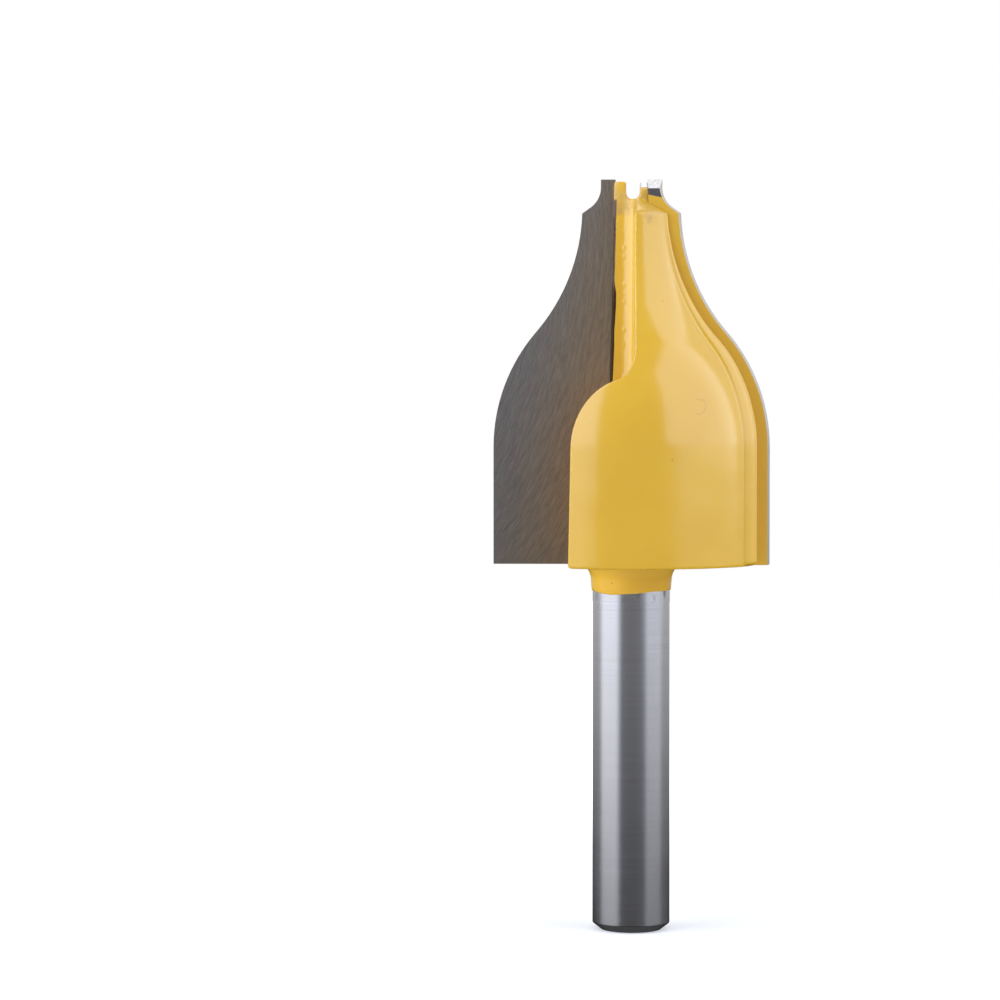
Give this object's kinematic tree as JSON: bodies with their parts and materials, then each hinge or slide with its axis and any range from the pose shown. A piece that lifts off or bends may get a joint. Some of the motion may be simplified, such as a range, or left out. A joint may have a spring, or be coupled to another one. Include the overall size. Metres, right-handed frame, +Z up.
{
  "type": "router bit",
  "caption": "Vertical raised-panel ogee router bit: yellow painted steel head with ground carbide tips along the flutes, on a plain ground shank.",
  "frame": {"origin": "centre of the flat end of the shank, on the spindle axis", "axes": "+Z up the spindle axis from the shank's end to the cutting tip; both rake faces lie in the plane Y = 0, the tip on -X looking along -Y and the tip on +X along +Y"},
  "size_m": [0.0286, 0.0256, 0.0777],
  "materials": {
    "painted_steel": "gloss",
    "ground_carbide": "ground"
  },
  "bodies": {
    "root": {"cutter_body": "painted_steel", "carbide_tip_left": "ground_carbide", "carbide_tip_right": "ground_carbide"}
  },
  "joints": []
}
